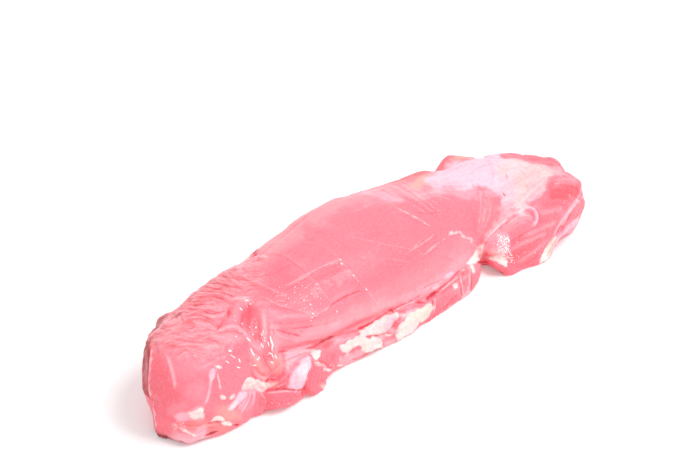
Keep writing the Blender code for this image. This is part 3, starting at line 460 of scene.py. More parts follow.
HIDDEN_SWELLINGS = (
    (1.4, 6, "-4,-46 20,-57"),
    (-0.6, 6, "-40,-50 -20,-44"),
    (-2.4, 3, "-55,-62 -49,-60 -47,-52"),
    (1.3, 2.5, "-45,-60 -42,-60"),
    (-1, 5, "26,-55 40,-50"),
    (-1, 5, "46,-46 55,-46"),
    (-1.6, 4, "68,-46 74,-48"),
    (-5, 3.6, "75,-40 80,-75"),
    (1.6, 2.6, "88,-52 90,-60"),
    (-1.6, 4, "116,-46 124,-46 130,-42 132,-10"),
    (-2, 5, "60,-60 50,-62 42,-60"),
    (-1.2, 4, "-28,-60 -18,-62"),
    (-2.8, 4, "-131,145 -127,134 -124,128"),
    (1.1, 3, "-107,127 -102,126"),
    (-1.9, 3.4, "-99,121 -90,119"),
    (1.4, 3, "-70,118 -65,118"),
    (0.8, 3, "-53,119 -45,120"),
    (0.9, 3, "-24,117 34,117 44,118"),
    (3, 2.6, "60,111 64,114 68,115"),
    (1, 3, "74,113 84,111"),
    (-3, 2.8, "55,126 61,123"),
    (0.6, 5, "-138,-60 -142,-80 -144,-98"),
    (-1.4, 4, "-140,-134 -139,-146 -138,-158"),
    (1.2, 3, "-138,-167 -138,-175"),
    (4.4, 4, "-138,-178 -138,-190 -136,-200"),
    (1.8, 4, "113,90 115,96 114,106"),
    (-1.6, 4, "109,114 101,108 96,107"),
    (-2.6, 4, "104,110 96,106 89,107"),
    (-1.6, 3, "117,56 113,68"),
)

# Wet glints that show, white beads painted as highlights: how wide they are in picture points, and both ends
# of each.
SEEN_GLINTS = (
    (2, "271,340 273,346"),
    (1.8, "252,352 254,355"),
    (1.6, "240,308 242,310 245,300 248,301 229,351 231,351 247,338 250,341 251,349 252,352 253,366 256,365 "
     "272,346 272,350 269,353 272,354 275,355 277,359"),
    (1.4, "239,359 240,362 259,357 259,359 270,336 271,341 268,342 269,346 272,354 273,357 271,362 273,363 "
     "312,317 312,318 341,263 342,264"),
    (1.3, "353,275 354,276"),
    (1.2, "231,355 235,358 237,367 240,368 257,359 258,360 264,337 265,341 261,343 262,346 256,327 256,328 "
     "250,304 251,304 313,313 313,314 366,289 367,290 337,311 337,312 310,304 311,305"),
    (1.1, "226,361 229,363"),
    (1, "263,330 263,334 261,333 262,336 263,345 263,348 253,334 253,335 242,323 242,324 236,336 236,337 "
     "314,316 314,316 340,259 341,260 344,267 344,267 336,314 336,314 342,303 342,303 325,283 325,283 "
     "321,290 321,290"),
    (0.9, "262,338 263,341 311,320 311,321 349,271 349,271 358,281 358,281 371,296 371,296 333,306 "
     "333,306"),
    (0.8, "299,265 299,265 286,262 286,262 313,257 313,257 260,268 260,268"),
    (0.7, "340,207 340,207"),
)
# Where small ones are strewn: the outline, how many and how wide.
STREWN_GLINTS = (
    ("268,288 300,280 318,282 326,290 308,300 300,312 276,304", 46, 0.9),
    ("308,278 318,282 322,300 314,320 308,300", 14, 0.9),
    ("496,233 509,236 509,250 498,252", 80, 1.5),
    ("501,240 509,236 510,252 502,252", 50, 1.7),
    ("500,248 511,250 515,264 505,262", 70, 1.2),
    ("492,240 500,238 502,254 492,252", 24, 0.9),
    ("510,230 550,232 540,256 514,262", 18, 0.8),
    ("560,190 578,194 572,214 556,210", 10, 0.7),
    ("262,328 266,328 266,348 260,348", 12, 0.9),
    ("268,340 273,340 274,362 268,360", 12, 1),
    ("270,402 292,402 288,409 266,409", 10, 0.8),
    ("322,366 334,362 332,374 322,374", 10, 0.8),
    ("460,268 472,266 470,292 460,292", 12, 0.8),
    ("171,421 184,420 187,430 178,437 171,431", 16, 0.9),
    ("225,300 256,296 258,330 228,340", 10, 0.8),
    ("390,250 440,230 450,262 400,290", 10, 0.6),
)


def view_axes():
    """The camera's place, and the directions to its right, up and behind it."""
    turn, tip = math.radians(VIEW_AZIMUTH), math.radians(VIEW_ELEVATION)
    back = Vector((math.sin(turn) * math.cos(tip), -math.cos(turn) * math.cos(tip), math.sin(tip)))
    right = Vector((math.cos(turn), math.sin(turn), 0))
    return LOOK_AT + back * VIEW_DISTANCE, right, back.cross(right), back


EYE, RIGHT, UP, BACK = view_axes()
FOCAL = PICTURE_WIDTH / 2 / math.tan(math.radians(VIEW_ANGLE) / 2)


def sight(x, y):
    """The direction in which the camera sees a picture point."""
    across, up = (x - LOOK_AT_POINT[0]) / FOCAL, -(y - LOOK_AT_POINT[1]) / FOCAL
    return (RIGHT * across + UP * up - BACK).normalized()


def picture_of(points):
    """Where the camera sees points that are in mm."""
    away = points * MM - np.array(EYE)
    depth = -(away @ np.array(BACK))
    x = LOOK_AT_POINT[0] + FOCAL * (away @ np.array(RIGHT)) / depth
    y = LOOK_AT_POINT[1] - FOCAL * (away @ np.array(UP)) / depth
    return np.stack((x, y), axis=1)


def stations_of(points):
    """mm along the spine and degrees around it, of points in mm."""
    foot = np.clip(points[:, 0], SPINE_START, SPINE_END)
    out = points - np.stack((foot, np.full(len(points), SPINE_Y), np.full(len(points), SPINE_Z)), axis=1)
    reach = np.maximum(np.linalg.norm(out, axis=1), 1e-6)
    along = foot + END_RADIUS * np.arcsin(np.clip(out[:, 0] / reach, -1, 1))
    return np.stack((along, np.degrees(np.arctan2(-out[:, 1], out[:, 2])), reach), axis=1)


def new_object(name, mesh):
    obj = bpy.data.objects.new(name, mesh)
    bpy.context.scene.collection.objects.link(obj)
    return obj


def bake(obj):
    """Makes the object's modifiers part of its mesh."""
    graph = bpy.context.evaluated_depsgraph_get()
    mesh = bpy.data.meshes.new_from_object(obj.evaluated_get(graph))
    obj.modifiers.clear()
    obj.data = mesh


def above_floor(points):
    """Whether points in mm are off the flat underside."""
    return points[:, 2] > UNDERSIDE


def in_detail(points):
    """Whether points in mm lie where the skin is finest."""
    along, around, _ = stations_of(points).T
    within = [(along > a) & (along < b) & (around > c) & (around < d) for a, b, c, d in FINEST]
    return np.any(within, axis=0) & above_floor(points)


def subdivide(obj, where):
    """Halves the faces whose middles lie where the function says."""
    bm = bmesh.new()
    bm.from_mesh(obj.data)
    middles = np.array([face.calc_center_median() for face in bm.faces]) / MM
    edges = {edge for face, wanted in zip(bm.faces, where(middles)) if wanted for edge in face.edges}
    bmesh.ops.subdivide_edges(bm, edges=list(edges), cuts=1, use_grid_fill=True)
    bm.to_mesh(obj.data)
    bm.free()


def fine_skin(node):
    """A fine closed skin over the solid's softened form."""
    meat = new_object("meat", node.data.copy())
    bm = bmesh.new()
    bm.from_mesh(meat.data)
    bmesh.ops.remove_doubles(bm, verts=bm.verts, dist=1e-6)
    bmesh.ops.recalc_face_normals(bm, faces=bm.faces)
    bm.to_mesh(meat.data)
    bm.free()
    form = new_object("form", meat.data.copy())
    rounded = form.modifiers.new("rounded", "SUBSURF")
    rounded.levels = rounded.render_levels = 2
    bake(form)
    grown = meat.modifiers.new("grown", "REMESH")
    grown.mode = "VOXEL"
    grown.voxel_size = SKIN_STEP * MM
    bake(meat)
    subdivide(meat, above_floor)
    subdivide(meat, in_detail)
    close = meat.modifiers.new("close", "SHRINKWRAP")
    close.target = form
    soft = meat.modifiers.new("soft", "SMOOTH")
    soft.iterations = SKIN_PASSES
    bake(meat)
    bpy.data.objects.remove(form)
    return meat


def points_of(path):
    """The points of a path of x,y pairs."""
    return np.array([pair.split(",") for pair in path.split()], float)


def flowing(points, closed=False, rounds=2):
    """The points with the path's corners cut, so that it bends softly."""
    for _ in range(rounds):
        after = np.roll(points, -1, axis=0) if closed else points[1:]
        before = points if closed else points[:-1]
        cut = np.stack((before * 0.75 + after * 0.25, before * 0.25 + after * 0.75), axis=1)
        cut = cut.reshape(-1, points.shape[1])
        points = cut if closed else np.vstack((points[:1], cut, points[-1:]))
    return points


def to_path(points, path, reach):
    """Which points are within reach of a path, how far off it and from its ends, and at which segment."""
    lengths = np.linalg.norm(np.diff(path, axis=0), axis=1)
    start = np.concatenate(([0.0], np.cumsum(lengths)))
    near = ((points > path.min(axis=0) - reach) & (points < path.max(axis=0) + reach)).all(axis=1)
    picked = np.flatnonzero(near)
    some = points[picked]
    distance = np.full(len(some), np.inf)
    walked = np.zeros(len(some))
    segment = np.zeros(len(some), int)
    for i, (a, b, length, gone) in enumerate(zip(path, path[1:], lengths, start)):
        share = np.clip((some - a) @ (b - a) / max(length, 1e-9) ** 2, 0, 1)
        off = np.linalg.norm(some - a - share[:, None] * (b - a), axis=1)
        closer = off < distance
        distance[closer] = off[closer]
        walked[closer] = gone + share[closer] * length
        segment[closer] = i
    return picked, distance, np.stack((walked, start[-1] - walked)).min(axis=0), segment


def inside(points, outline):
    """Whether points lie within a closed outline in the plane."""
    x, y = points.T
    crossed = np.zeros(len(points), bool)
    for (ax, ay), (bx, by) in zip(outline, np.roll(outline, -1, axis=0)):
        if ay == by:
            continue
        crossed ^= ((ay > y) != (by > y)) & (x < (bx - ax) * (y - ay) / (by - ay) + ax)
    return crossed


class Skin:
    """The meat's points in mm, what height they get and what they are made of."""

    def __init__(self, meat):
        mesh = meat.data
        count = len(mesh.vertices)
        self.mesh = mesh
        self.points = self.read("co", count) / MM
        self.normals = self.read("normal", count)
        self.look_up()
        self.gap = self.mean_gap()
        self.stations = stations_of(self.points)
        self.flat = self.stations[:, :2] * (1, MM_PER_DEGREE)
        self.picture = picture_of(self.points)
        towards = np.array(EYE) / MM - self.points
        towards /= np.linalg.norm(towards, axis=1)[:, None]
        square_on = (self.normals * towards).sum(axis=1)
        self.facing = np.clip((square_on + EDGE_FADE) / (2 * EDGE_FADE), 0, 1)
        self.slant = np.where(square_on > 0, np.clip(square_on, LEAST_SLANT, 1), 1)
        self.wobble = 0.9 * self.noise((0.13, 0.13, 0.13)) + 0.6 * self.noise((0.42, 0.42, 0.42))
        self.height = np.zeros(count)
        self.made_of = {name: np.zeros(count) for name in COVERS + TINTS}
        self.drawn = {name: [] for name in THIN}

    def read(self, what, count):
        values = np.empty(count * 3)
        self.mesh.vertices.foreach_get(what, values)
        return values.reshape(-1, 3)

    def look_up(self):
        """Readies the skin for rays."""
        faces = [face.vertices for face in self.mesh.polygons]
        self.tree = BVHTree.FromPolygons(self.points.tolist(), faces)

    def mean_gap(self):
        """How far each point is from its neighbours."""
        ends = np.empty(len(self.mesh.edges) * 2, int)
        self.mesh.edges.foreach_get("vertices", ends)
        ends = ends.reshape(-1, 2)
        lengths = np.linalg.norm(self.points[ends[:, 0]] - self.points[ends[:, 1]], axis=1)
        total = np.bincount(ends.ravel(), np.repeat(lengths, 2), len(self.points))
        return total / np.maximum(np.bincount(ends.ravel(), minlength=len(self.points)), 1)

    def noise(self, scale, places=None):
        """Smooth noise from about -1 to 1, with lumps of about 1 / scale mm along each axis."""
        places = (self.points if places is None else places) * scale
        return np.array([noise.noise(Vector(place)) for place in places]) * 1.6

    def under(self, x, y):
        """The point of the skin that shows at a picture point, or the nearest one to that line of sight."""
        eye, way = EYE / MM, sight(x, y)
        hit = self.tree.ray_cast(eye, way)
        if hit[0] is None:
            tries = (self.tree.find_nearest(eye + way * reach) for reach in SIGHT_TRIED)
            hit = min(tries, key=lambda found: found[3])
        return np.array(hit[0]), np.array(hit[1])

    def at(self, along, around):
        """The point of the skin at a station."""
        foot = min(max(along, SPINE_START), SPINE_END)
        tilt = max(-1.5, min(1.5, (along - foot) / END_RADIUS))
        turn = math.radians(around)
        ray = Vector((math.sin(tilt), -math.sin(turn) * math.cos(tilt), math.cos(turn) * math.cos(tilt)))
        hit = self.tree.ray_cast(Vector((foot, SPINE_Y, SPINE_Z)), ray)
        return np.array(hit[0]), np.array(hit[1])

    def add(self, what, picked, amount):
        """Makes the picked points of this stuff, as strongly as amount says."""
        if what in COVERS:
            for other in COVERS:
                self.made_of[other][picked] *= 1 - amount
            self.made_of[what][picked] += amount
            for tint in TINTS:
                self.made_of[tint][picked] *= 1 - amount
        else:
            self.made_of[what][picked] = np.maximum(self.made_of[what][picked], amount)

    def swell(self, find, height, half_width, path):
        """Lays a ridge or groove along a path, and gives how near the points around it are."""
        path = np.array([find(*point)[0] for point in flowing(points_of(path))])
        picked, distance, to_end, segment = to_path(self.points, path, max(half_width * 3, 3))
        taper = np.clip(0.3 + to_end / (3 * half_width), 0, 1)
        near = np.exp(-((distance / half_width) ** 2)) * taper
        self.height[picked] += height * near
        return path, picked, distance, segment, taper, near

    def line(self, find, what, strength, height, half_width, path):
        """Lays a ridge or groove, and colours it."""
        path, picked, distance, segment, taper, near = self.swell(find, height, half_width, path)
        if what in THIN:
            start, ahead = path[segment], path[segment + 1] - path[segment]
            turned = np.cross(ahead, self.points[picked] - start)
            side = np.sign((turned * self.normals[picked]).sum(axis=1))
            width = (THIN_WIDTH[0] + (THIN_WIDTH[1] - THIN_WIDTH[0]) * strength) * (0.25 + 0.75 * taper)
            width /= self.slant[picked]
            self.draw(what, min(1, 0.04 + 1.1 * strength), picked, side * distance / width, distance)
        else:
            self.add(what, picked, strength * np.clip(near * 1.3, 0, 1))

    def draw(self, what, strength, picked, side, distance):
        """Keeps on which side of a thin line the points are, on the first layer that is free there."""
        reach = self.gap[picked] * THIN_REACH
        shown = strength * np.clip((reach - distance) / (0.35 * reach), 0, 1)
        picked, side, shown = picked[shown > 0], side[shown > 0], shown[shown > 0]
        free = [layer for layer in self.drawn[what] if not (layer[1][picked] > 0).any()]
        if not free:
            free = [(np.full(len(self.points), FARTHEST_SIDE), np.zeros(len(self.points)))]
            self.drawn[what] += free
        sides, strengths = free[0]
        sides[picked], strengths[picked] = np.clip(side, -FARTHEST_SIDE, FARTHEST_SIDE), shown

    def area(self, plane, scale, weight, what, strength, softness, ragged, outline, height=0):
        """Makes an area of one stuff, and raises it."""
        outline = flowing(points_of(outline) * scale, closed=True, rounds=1)
        closed = np.vstack((outline, outline[:1]))
        picked, distance, _, _ = to_path(plane, closed, softness + ragged + 1)
        within = inside(plane, outline)
        signed = np.where(within, np.inf, -np.inf)
        signed[picked] = np.where(within[picked], distance, -distance)
        cover = np.clip(0.5 + (signed + ragged * self.wobble) / (2 * softness), 0, 1)
        cover = cover * cover * (3 - 2 * cover) * weight
        some = np.flatnonzero(cover > 0)
        self.height[some] += height * cover[some]
        self.add(what, some, strength * cover[some])

    def keep(self, name, amount):
        layer = self.mesh.attributes.new(name, "FLOAT", "POINT")
        layer.data.foreach_set("value", amount.astype(np.float32))

    def finish(self):
        """Moves the points by their height and keeps what they are made of on the mesh."""
        self.points = self.points + self.normals * self.height[:, None]
        self.points[:, 2] = np.maximum(self.points[:, 2], 0)
        self.mesh.vertices.foreach_set("co", (self.points * MM).reshape(-1))
        for name, amount in self.made_of.items():
            self.keep(name, np.clip(amount, 0, 1))
        for name, layers in self.drawn.items():
            for i, (side, strength) in enumerate(layers):
                self.keep(f"{name}_side_{i}", side)
                self.keep(f"{name}_{i}", strength)
        for name, places in (("grain", self.grain()), ("creases", self.creases())):
            layer = self.mesh.attributes.new(name, "FLOAT_VECTOR", "POINT")
            layer.data.foreach_set("vector", places.astype(np.float32).reshape(-1))
        self.mesh.update()
        self.look_up()

    def grain(self):
        """mm along the spine, around it and out from it."""
        return self.stations * (1, MM_PER_DEGREE, 1)

    def creases(self):
        """Places whose second number grows across the tail's folds."""
        ahead, across = self.points @ FOLDS_AHEAD, self.points @ ACROSS_FOLDS
        places = np.stack((ahead, across, self.stations[:, 2]), axis=1)
        places[:, 1] += FOLDS_BEND * np.clip(places[:, 0] - FOLDS_CREST, -12, 16) ** 2
        places[:, 1] += 1.2 * self.noise((0.11, 0.11, 0.11)) + 0.4 * self.noise((0.3, 0.3, 0.3))
        return places


def tail_creases(skin):
    """Fine folds that cross the tail."""
    places = skin.creases()
    ridges = 1 - 2 * np.abs(skin.noise((0.05, 0.34, 0.03), places))
    small = skin.noise((0.08, 0.80, 0.05), places)
    skin.height += skin.made_of["creased"] * (0.26 * ridges + 0.14 * small)


def fibres(skin):
    """The low grain of the meat, streaks along the muscle, a little unevenness, and lumps in the fat."""
    skin.height += 0.14 * skin.noise((0.06, 0.28, 0.2), skin.grain()) + 0.05 * skin.noise((0.6, 0.6, 0.6))
    lumps = skin.noise((0.45, 0.45, 0.45))
    skin.height += (0.08 + 0.30 * skin.made_of["fat"] + 0.10 * skin.made_of["red"]) * lumps


class Wire:
    """An output socket of a material's nodes, with arithmetic that adds Math nodes."""

    def __init__(self, paint, socket):
        self.paint = paint
        self.socket = socket

    def maths(self, operation, first, second=0.0, clamp=False):
        settings = {"operation": operation, "use_clamp": clamp}
        return self.paint.node("ShaderNodeMath", settings, {0: first, 1: second})

    def __add__(self, other):
        return self.maths("ADD", self, other)

    __radd__ = __add__

    def __sub__(self, other):
        return self.maths("SUBTRACT", self, other)

    def __rsub__(self, other):
        return self.maths("SUBTRACT", other, self)

    def __mul__(self, other):
        return self.maths("MULTIPLY", self, other)

    __rmul__ = __mul__

    def __truediv__(self, other):
        return self.maths("DIVIDE", self, other)

    def __abs__(self):
        return self.maths("ABSOLUTE", self)

    def clamped(self):
        return self.maths("ADD", self, 0.0, clamp=True)

    def or_more(self, other):
        return self.maths("MAXIMUM", self, other)


class Paint:
    """One material's nodes."""

    def __init__(self, name):
        self.material = bpy.data.materials.new(name)
        self.material.use_nodes = True
        self.tree = self.material.node_tree
        self.shader = self.tree.nodes["Principled BSDF"]

    def node(self, kind, settings=None, inputs=None, output=0):
        """A node of a kind, with its settings, then what feeds its sockets; gives one of its outputs."""
        made = self.tree.nodes.new(kind)
        for name, value in (settings or {}).items():
            setattr(made, name, value)
        for name, value in (inputs or {}).items():
            self.feed(made.inputs[name], value)
        return Wire(self, made.outputs[output])

    def feed(self, socket, value):
        if isinstance(value, Wire):
            self.tree.links.new(value.socket, socket)
        else:
            socket.default_value = value

    def set(self, **values):
        """Feeds the shader's sockets, named with _ for a space."""
        for name, value in values.items():
            self.feed(self.shader.inputs[name.replace("_", " ")], value)

    def attribute(self, name, output="Fac"):
        return self.node("ShaderNodeAttribute", {"attribute_name": name}, output=output)

    def cloud(self, vector, stretch, detail=3.0, roughness=0.55):
        """Noise from 0 to 1, with lumps of about 1 / stretch along each axis, or along all."""
        stretch = stretch if isinstance(stretch, tuple) else (stretch,) * 3
        placed = self.node("ShaderNodeVectorMath", {"operation": "MULTIPLY"}, {0: vector, 1: stretch})
        inputs = {"Vector": placed, "Scale": 1.0, "Detail": detail, "Roughness": roughness}
        return self.node("ShaderNodeTexNoise", inputs=inputs)

    def mix(self, factor, under, over):
        """Two colours, the second one as strongly as the factor says."""
        inputs = {"Factor": factor, 6: under, 7: over}
        return self.node("ShaderNodeMix", {"data_type": "RGBA"}, inputs, output=2)

    def tinted(self, colour, name, gain, tint):
        """The colour, tinted where the attribute of this name is high."""
        return self.mix((self.attribute(name) * gain).clamped(), colour, tint)

    def gritty(self, colour, grit, amount, high, low):
        """The colour, with specks of two others in the fine grit."""
        colour = self.mix(self.between(grit, 0.50, 0.75) * amount, colour, high)
        return self.mix(self.between(grit, 0.50, 0.25) * amount, colour, low)

    def between(self, value, low, high):
        """0 below low, 1 above high, and smooth between."""
        inputs = {"Value": value, "From Min": low, "From Max": high}
        return self.node("ShaderNodeMapRange", {"interpolation_type": "SMOOTHSTEP"}, inputs)

    def contour(self, value, level, width):
        """1 where the value is at a level, and 0 from a width off it."""
        return (1 - abs(value - level) / width).clamped()

    def drawn(self, name, layers, widen):
        """How strongly the thin lines of one name show, wider where the second wire is high."""
        shown = 0.0
        for i in range(layers):
            within = widen - abs(self.attribute(f"{name}_side_{i}"))
            shown = ((within * 1.4).clamped() * self.attribute(f"{name}_{i}")).or_more(shown)
        return shown


MEAT = (0.985, 0.158, 0.215, 1)
STREAK = (0.985, 0.200, 0.260, 1)
RED = (0.950, 0.100, 0.146, 1)
PALE = (0.985, 0.400, 0.450, 1)
WARM = (0.985, 0.240, 0.210, 1)
PEACH = (0.985, 0.420, 0.340, 1)
# blood, and also painted contact shadow where the meat's lowest edge meets the floor
BLOOD_AND_SHADE = (0.330, 0.010, 0.018, 1)
# dark cuts, and painted shade in the creases that the slits follow
SLIT_AND_SHADE = (0.620, 0.030, 0.060, 1)
THREAD = (0.985, 0.640, 0.670, 1)
# browned meat, and painted shade on the tail's end that faces away from the lamp
BROWN_AND_SHADE = (0.400, 0.034, 0.030, 1)
CREASE_SHADE = (0.620, 0.090, 0.105, 1)
# silverskin, and a painted lilac reflection where laid faintly on the tail's face
SILVER_AND_SHEEN = (0.930, 0.525, 0.665, 1)
SILVER_CREAM = (0.950, 0.530, 0.490, 1)
SILVER_WHITE = (0.930, 0.700, 0.770, 1)
FAT = (0.930, 0.720, 0.680, 1)
FAT_CREAM = (0.960, 0.640, 0.480, 1)
FAT_WHITE = (0.940, 0.830, 0.790, 1)
# near-white beads: painted highlights
GLINT_PINK = (0.98, 0.90, 0.90, 1)
GLINT_WHITE = (1.0, 0.98, 0.98, 1)


def raw_meat(skin):
    """Moist meat: pink flesh with its grain, silverskin and fat over it, blood in the slits, and painted
    shade and highlight in its creases and along its lowest edges.
    """
    paint = Paint("raw_meat")
    grain = paint.attribute("grain", "Vector")
    creases = paint.attribute("creases", "Vector")
    place = paint.node("ShaderNodeTexCoord", output="Object")
    fibre = paint.cloud(grain, (0.04, 0.45, 0.25), 4.0, 0.6)
    fine = paint.cloud(grain, (0.30, 1.9, 0.8), 3.0, 0.6)
    broad = paint.cloud(place, 38.0, 2.0, 0.5)
    mottle = paint.cloud(place, 120.0, 4.0, 0.65)
    speckle = paint.cloud(place, 900.0, 2.0, 0.6)
    rough = paint.cloud(place, 420.0, 2.0, 0.6)
    grit = paint.cloud(place, 1700.0, 2.0, 0.6)
    folds = paint.cloud(creases, (0.055, 0.50, 0.04), 3.0, 0.5)
    wrinkles = paint.cloud(creases, (0.11, 1.1, 0.08), 2.0, 0.5)

    tone = broad * 0.25 + fibre * 0.25 + fine * 0.25 + speckle * 0.25
    colour = paint.mix(paint.between(tone, 0.40, 0.62), MEAT, STREAK)
    colour = paint.tinted(colour, "red", 0.5 + mottle, RED)
    colour = paint.tinted(colour, "pale", 0.4 + 1.2 * mottle, PALE)
    creased = paint.attribute("creased")
    colour = paint.gritty(colour, grit, creased * 0.35 + paint.attribute("red") * 0.35 + 0.28, PALE, RED)
    colour = paint.mix(paint.contour(fine, 0.5, 0.10) * 0.10, colour, PALE)
    colour = paint.mix(paint.contour(fibre, 0.56, 0.04) * 0.12, colour, RED)
    colour = paint.tinted(colour, "warm", 0.9, WARM)
    colour = paint.tinted(colour, "peach", 0.4 + 1.2 * mottle, PEACH)
    # along the tail's folds: pale lines are painted highlight on the crests, and dark lines painted shade in
    # the hollows
    for cloud, level, width, strength, tint in (
        (folds, 0.54, 0.07, 0.9, PALE), (wrinkles, 0.55, 0.12, 0.8, PALE),
        (folds, 0.46, 0.035, 1.1, CREASE_SHADE), (wrinkles, 0.42, 0.06, 0.8, CREASE_SHADE),
    ):
        colour = paint.mix(paint.contour(cloud, level, width) * creased * rough * strength, colour, tint)
    # brown: browned meat, and painted shade on the end away from the lamp
    colour = paint.tinted(colour, "brown", 1.0, BROWN_AND_SHADE)

    # silverskin, which on the tail's face also makes a faint painted lilac reflection
    lines = paint.cloud(grain, (0.035, 0.8, 0.5), 3.0, 0.6)
    sheet = paint.tinted(SILVER_AND_SHEEN, "cream", 0.5 + mottle, SILVER_CREAM)
    sheet = paint.tinted(sheet, "white", 0.4 + 1.2 * mottle, SILVER_WHITE)
    for level, width, strength, tint in (
        (0.50, 0.10, 0.70, SILVER_WHITE), (0.58, 0.10, 0.70, PALE), (0.42, 0.06, 0.35, RED),
    ):
        sheet = paint.mix(paint.contour(lines, level, width) * rough * strength, sheet, tint)
    sheet = paint.mix(paint.between(speckle, 0.54, 0.72) * 0.35, sheet, PALE)
    sheet = paint.gritty(sheet, grit, 0.80, PALE, SILVER_WHITE)
    colour = paint.tinted(colour, "silver", 0.55 + 0.9 * mottle, sheet)

    lump = paint.mix(paint.between(mottle, 0.48, 0.66) * 0.5, FAT, PALE)
    lump = paint.mix(paint.between(grit, 0.52, 0.75) * 0.5, lump, PALE)
    lump = paint.tinted(lump, "cream", 0.4 + mottle, FAT_CREAM)
    lump = paint.tinted(lump, "white", 0.4 + mottle, FAT_WHITE)
    edge = paint.attribute("fat") + (mottle - 0.5) * 0.7 + (rough - 0.5) * 0.8
    colour = paint.mix(paint.between(edge, 0.15, 0.95), colour, lump)

    # blood, and painted contact shadow along the meat's lowest edges
    colour = paint.mix(paint.between(paint.attribute("blood"), 0.0, 1.0), colour, BLOOD_AND_SHADE)
    threads = paint.drawn("thread", len(skin.drawn["thread"]), 4.5 * rough + 3.0 * mottle - 2.6)
    colour = paint.mix(threads, colour, THREAD)
    # the dark slits: dark cuts, and painted shade in the creases
    slits_and_shade = paint.drawn("slit", len(skin.drawn["slit"]), 3.4 * rough - 0.4)
    colour = paint.mix(slits_and_shade, colour, SLIT_AND_SHADE)

    relief = fine * 0.4 + speckle * 0.35 + grit * 0.25 + mottle * 0.8
    relief = relief + (folds * 3.0 + wrinkles * 2.0) * creased
    bump = {"Strength": 0.6, "Distance": 0.0004, "Height": relief}
    paint.set(Base_Color=colour, Roughness=0.36 + 0.20 * mottle + 0.10 * paint.attribute("fat"),
              Normal=paint.node("ShaderNodeBump", None, bump), Subsurface_Weight=0.10,
              Subsurface_Radius=(1.0, 0.30, 0.22), Subsurface_Scale=0.001, Coat_Roughness=0.08,
              Coat_Weight=0.12 * (1 - paint.attribute("brown")), Specular_IOR_Level=0.5)
    return paint.material


def finished(piece, paint):
    """Gives a piece its material and its place on the meat."""
    piece.data.shade_smooth()
    piece.data.materials.clear()
    piece.data.materials.append(paint)
    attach(piece, "root")


def dressed_meat():
    """The meat's fine skin, with everything that shows on it."""
    meat = fine_skin(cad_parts["tenderloin"])
    skin = Skin(meat)
    for entry in SEEN_AREAS:
        skin.area(skin.picture, 1, skin.facing, *entry)
    for entry in HIDDEN_AREAS:
        skin.area(skin.flat, (1, MM_PER_DEGREE), 1, *entry)
    tail_creases(skin)
    for find, lines, swellings in (
        (skin.under, SEEN_LINES, SEEN_SWELLINGS), (skin.at, HIDDEN_LINES, HIDDEN_SWELLINGS),
    ):
        for what, height, half_width, *drawn in lines:
            for strength, path in zip(drawn[::2], drawn[1::2]):
                skin.line(find, what, strength, height, half_width, path)
        for entry in swellings:
            skin.swell(find, *entry)
    fibres(skin)
    skin.finish()
    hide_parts("tenderloin")
    finished(meat, raw_meat(skin))
    return skin


def bead(bm, start, end, out, half_width, rounds):
    """A flattened drop from one point to another, in mm."""
    middle = (start + end) / 2
    ahead = end - start
    length = np.linalg.norm(ahead) / 2 + half_width
    ahead = ahead / np.linalg.norm(ahead) if np.linalg.norm(ahead) > 0.05 else np.cross(out, (0, 0, 1))
    across = np.cross(out, ahead)
    columns = (ahead * length, across * half_width, out * half_width * 0.5, middle)
    placed = Matrix([[*row, last] for row, last in zip(np.array(columns[:3]).T, middle)] + [[0, 0, 0, 1]])
    bmesh.ops.create_icosphere(bm, subdivisions=rounds, radius=1, matrix=Matrix.Scale(MM, 4) @ placed)


def wet_glints(skin):
    """Beads that stand on the skin, near white: painted glints of its wet surface."""
    bm = bmesh.new()
    for width, path in SEEN_GLINTS:
        ends = points_of(path)
        for near, far in zip(ends[::2], ends[1::2]):
            start, out = skin.under(*near)
            bead(bm, start, skin.under(*far)[0], out, width * MM_PER_POINT / 2, 2)
    chance = np.random.default_rng(SEED)
    for outline, count, width in STREWN_GLINTS:
        outline = points_of(outline)
        while count:
            x, y = chance.uniform(outline.min(axis=0), outline.max(axis=0))
            if inside(np.array([(x, y)]), outline)[0]:
                start, out = skin.under(x, y)
                size = chance.uniform(0.3, 1.0) * width * MM_PER_POINT
                end = skin.under(x + chance.uniform(-1, 1), y + chance.uniform(0, 1.5))[0]
                bead(bm, start, end, out, size / 2, 1)
                count -= 1
    mesh = bpy.data.meshes.new("wet_glints")
    bm.to_mesh(mesh)
    bm.free()
    paint = Paint("painted_glints")
    speck = paint.cloud(paint.node("ShaderNodeTexCoord", output="Object"), 800.0)
    paint.set(Base_Color=paint.mix(speck, GLINT_PINK, GLINT_WHITE), Roughness=0.08 + 0.1 * speck,
              Specular_IOR_Level=0.8)
    finished(new_object("wet_glints", mesh), paint.material)


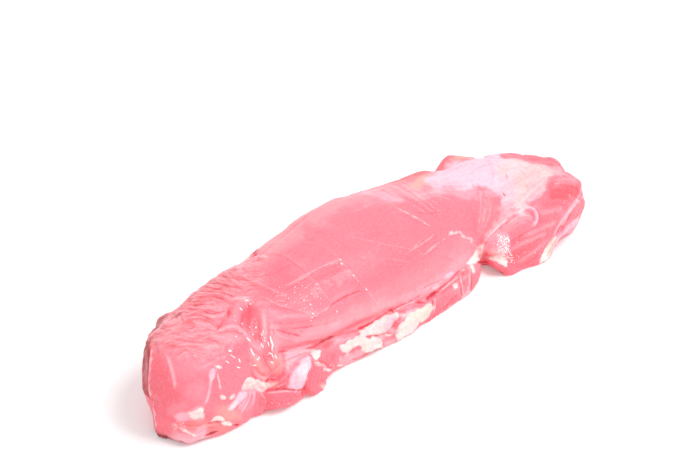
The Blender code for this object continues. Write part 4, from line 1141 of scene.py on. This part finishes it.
def plain_floor():
    """A plain near-white floor."""
    bm = bmesh.new()
    bmesh.ops.create_grid(bm, x_segments=1, y_segments=1, size=4.0)
    mesh = bpy.data.meshes.new("floor")
    bm.to_mesh(mesh)
    bm.free()
    floor = new_object("floor", mesh)
    paint = Paint("floor_white")
    paint.set(Base_Color=(0.80, 0.80, 0.80, 1), Roughness=0.6, Specular_IOR_Level=0.2,
              Emission_Color=(1, 1, 1, 1), Emission_Strength=0.18)
    mesh.materials.append(paint.material)


def soft_light(name, place, size, energy):
    """A square studio lamp that looks at the meat."""
    lamp = bpy.data.lights.new(name, "AREA")
    lamp.shape = "SQUARE"
    lamp.size = size
    lamp.energy = energy
    obj = bpy.data.objects.new(name, lamp)
    obj.location = place
    obj.rotation_mode = "QUATERNION"
    obj.rotation_quaternion = (Vector(place) - LOOK_AT).to_track_quat("Z", "Y")
    bpy.context.scene.collection.objects.link(obj)


def studio():
    """White surroundings and a soft lamp."""
    world = bpy.data.worlds.new("studio")
    world.use_nodes = True
    world.node_tree.nodes["Background"].inputs["Color"].default_value = (1, 1, 1, 1)
    world.node_tree.nodes["Background"].inputs["Strength"].default_value = 0.86
    bpy.context.scene.world = world
    soft_light("key", (0.28, -0.50, 1.02), 0.5, 8.6)
    bpy.context.scene.view_settings.view_transform = "Standard"


def camera():
    data = bpy.data.cameras.new("camera")
    obj = bpy.data.objects.new("camera", data)
    obj.location = EYE
    obj.rotation_mode = "QUATERNION"
    obj.rotation_quaternion = BACK.to_track_quat("Z", "Y")
    data.sensor_width = 36.0
    data.lens = data.sensor_width / 2 / math.tan(math.radians(VIEW_ANGLE) / 2)
    data.shift_x = -(LOOK_AT_POINT[0] - PICTURE_WIDTH / 2) / PICTURE_WIDTH
    data.shift_y = (LOOK_AT_POINT[1] - PICTURE_HEIGHT / 2) / PICTURE_WIDTH
    data.clip_start = 0.01
    bpy.context.scene.collection.objects.link(obj)
    bpy.context.scene.camera = obj


camera()
studio()
plain_floor()
wet_glints(dressed_meat())
